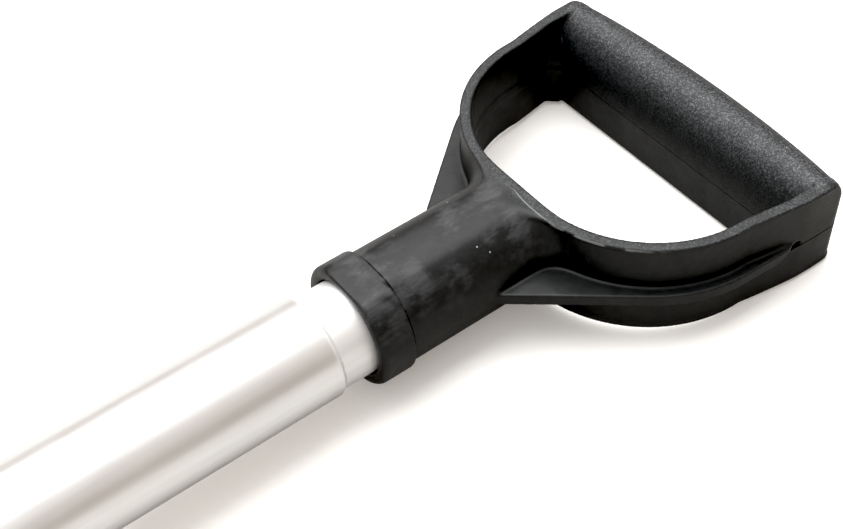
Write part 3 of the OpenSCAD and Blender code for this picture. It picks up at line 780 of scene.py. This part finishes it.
def mouth_at(z):
    return BELLY_LEN + (z - BELLY_Z) * (TOP_LEN - BELLY_LEN) / (TOP_Z - BELLY_Z)


def outward(p):
    """Away from the basket's middle line, for a point in the basket's frame."""
    v = np.array([0.0, p[1], p[2]])
    return v / max(np.linalg.norm(v), 1e-9)


def inset(points, d):
    """Moves points of the section towards its middle by d along both neighbours."""
    P = np.array(points, float)
    out = []
    for i in range(len(P)):
        a, b = P[i] - P[i - 1], P[(i + 1) % len(P)] - P[i]
        na, nb = np.array([-a[1], a[0]]) / np.hypot(*a), np.array([-b[1], b[0]]) / np.hypot(*b)
        m = na + nb
        m /= m @ m / 2 or 1
        out.append(P[i] + m * d)
    return out


def weld_all():
    HM = LAY @ HEADM
    ins = inset(SECTION, 0.9)
    # the eight long corners
    rows = []
    for i, ((y, z), (yi, zi)) in enumerate(zip(SECTION, ins)):
        x0, x1 = (7.0 if z < -60 else 3.0), mouth_at(z) - 2.0
        rows.append(bead([(x0, yi, zi), (x1, yi, zi)], 1.9, outward, seed=i * 1.7))
    weld_piece("weld_corners", rows, HM)
    # round the back plate; lighter along the belly, which the scoop lies on
    ring = []
    for i in range(8):
        a, b = np.array(ins[i]), np.array(ins[(i + 1) % 8])
        d = (b - a) / np.linalg.norm(b - a)
        a2, b2 = a + d * 1.2, b - d * 1.2
        low = max(a[1], b[1]) < -60
        x = 0.6 if not low else 1.6
        ring.append(bead([(x, *a2), (x, *b2)], 1.7 if not low else 1.3, outward, seed=i * 2.3))
    weld_piece("weld_back_plate", ring, HM)
    # round the foot of the socket
    pts = []
    inv = HEADM.inverted()
    r = 16.9
    s, c = math.sin(HEAD_ANGLE), math.cos(HEAD_ANGLE)
    for a in np.radians(np.arange(0, 360, 4)):
        Y, Z = r * math.cos(a), r * math.sin(a)
        hz = (Z + BACK_T * s) / c
        pts.append((BACK_T * c + s * hz - HEAD_X + 0.5, Y, Z))
    weld_piece("weld_socket", [bead(pts, 2.6, lambda p: np.array([0.5, p[1] / 17, p[2] / 17]), closed=True, seed=0.4)], LAY)
    # both sides of each gusset, on the plate and on the socket
    def back_at(h, out=0.0):
        q = HEADM @ Vector((-BACK_T - out, 0, h))
        return q.x, q.z
    rows = []
    for side in (-1, 1):
        y = 2.3 * side
        for h0, h1 in ((24.5, 52.5), (-21.5, -56.5)):
            a, b = back_at(h0), back_at(h1)
            rows.append(bead([(a[0], y, a[1]), (b[0], y, b[1])], 1.5, np.array([0.7, side, 0.0]), seed=h0 + side))
        rows.append(bead([(-879.0, y, 16.9), (-817.0, y, 16.9)], 1.5, np.array([0, side, 1.0]), seed=5 + side))
        rows.append(bead([(-897.0 + 4.0, y, -16.9), (-827.0, y, -16.9)], 1.5, np.array([0, side, -1.0]), seed=8 + side))
    weld_piece("weld_gussets", rows, LAY)
    # the foot step and its brackets
    rows = [bead([(1.2, -46, 65.1), (1.2, 46, 65.1)], 1.5, np.array([1.0, 0, 1.0]), seed=1.0),
            bead([(-2.3, -46, 65.0), (-2.3, 46, 65.0)], 1.4, np.array([-1.0, 0, 0.4]), seed=2.0)]
    for b in (-40, 40):
        for side in (-1, 1):
            y = b + side * 1.7
            rows.append(bead([(4, y, 65.1), (33.5, y, 65.1)], 1.3, np.array([0, side, 1.0]), seed=b + side))
            rows.append(bead([(1.1, y, 69), (1.1, y, 93)], 1.3, np.array([1.0, side, 0]), seed=b - side))
    weld_piece("weld_step", rows, HM)
    # the lip's butt seam, outside and inside, and the rod round the mouth
    lip_path, rod_out = [], []
    for y, z in ((-78, -22), (-35, -65), (35, -65), (78, -22)):
        lip_path.append((y, z))
    for off, rad, seed in ((0.7, 1.6, 0.2), (2.4, 1.2, 0.9)):
        beads = []
        q = inset(SECTION, off)
        sec = [q[7], q[0], q[1], q[2]]
        for i in range(3):
            a, b = np.array(sec[i]), np.array(sec[i + 1])
            d = (b - a) / np.linalg.norm(b - a)
            a, b = a + d * 1.0, b - d * 1.0
            sign = 1 if off < 1 else -1
            beads.append(bead([(mouth_at(a[1]), *a), (mouth_at(b[1]), *b)], rad, lambda p, g=sign: g * outward(p), seed=seed + i))
        weld_piece("weld_lip_outer" if off < 1 else "weld_lip_inner", beads, HM)
        beads = []
        sec = [q[2], q[3], q[4], q[5], q[6], q[7]]
        for i in range(5):
            a, b = np.array(sec[i]), np.array(sec[i + 1])
            d = (b - a) / np.linalg.norm(b - a)
            a, b = a + d * (6.0 if i == 0 else 1.0), b - d * (6.0 if i == 4 else 1.0)
            beads.append(bead([(mouth_at(a[1]) + 0.3, *a), (mouth_at(b[1]) + 0.3, *b)], rad * 0.85, lambda p, g=sign: g * outward(p), seed=seed + 4 + i))
        weld_piece("weld_rim_outer" if off < 1 else "weld_rim_inner", beads, HM)


def weld_material():
    n = Net("weld_metal")
    p = n.place(scale=(1000, 1000, 1000))
    tone = n.noise(p, 0.07, 3, 0.5)
    fine = n.noise(p, 1.6, 4, 0.65)
    base = n.colour(n.span(tone, 0.34, 0.52), (0.50, 0.40, 0.27), (0.46, 0.46, 0.47))
    base = n.colour(n.span(tone, 0.55, 0.70, 0, 0.75), base, (0.22, 0.24, 0.36))
    base = n.colour(n.span(fine, 0.60, 0.75, 0, 0.6), base, (0.12, 0.11, 0.10))
    rough = n.m("ADD", 0.26, n.m("MULTIPLY", fine, 0.22))
    return n.set(Base_Color=base, Metallic=1.0, Roughness=rough, Normal=n.bump(fine, 0.3, 0.00004))


WELD = weld_material()
weld_all()

MAT = {
    "aluminium": tube_material(),
    "stainless_sheet": steel_material("brushed_sheet", (0.50, 0.50, 0.49), 0.24, (0.03, 1.0, 1.0), basket_tint),
    "stainless_plate": steel_material("brushed_plate", (0.47, 0.47, 0.46), 0.28, (0.08, 1.0, 0.6)),
    "fastener_steel": steel_material("fastener_steel", (0.66, 0.66, 0.65), 0.18, (1.0, 1.0, 1.0)),
    "spring_steel": steel_material("spring_strip", (0.38, 0.38, 0.37), 0.25, (0.05, 1.0, 1.0)),
    "black_plastic": plastic_material("black_nylon", (0.014, 0.014, 0.015)),
    "grip_plastic": grip.data.materials[0],
}
slot_of = {s["node"]: s["material_slot"] for s in frame["record"]["subparts"]}
for name, ob in nodes.items():
    ob.data.materials.clear()
    ob.data.materials.append(MAT[slot_of[name]])
    if name != "d_grip":
        w = ob.modifiers.new("weld", "WELD")
        w.merge_threshold = 1e-6
        flat = ob.modifiers.new("planar", "DECIMATE")
        flat.decimate_type = "DISSOLVE"
        flat.angle_limit = math.radians(0.6)
        bv = ob.modifiers.new("bevel", "BEVEL")
        bv.width = 0.0003 if slot_of[name].startswith("stainless") else 0.0002
        bv.segments = 2
        bv.loop_slide = False
        bv.limit_method = "ANGLE"
        bv.angle_limit = math.radians(40)
        bv.harden_normals = False
        wn_ = ob.modifiers.new("shade", "WEIGHTED_NORMAL")
        wn_.mode = "FACE_AREA"
        wn_.weight = 90
        wn_.keep_sharp = True
        for poly in ob.data.polygons:
            poly.use_smooth = True
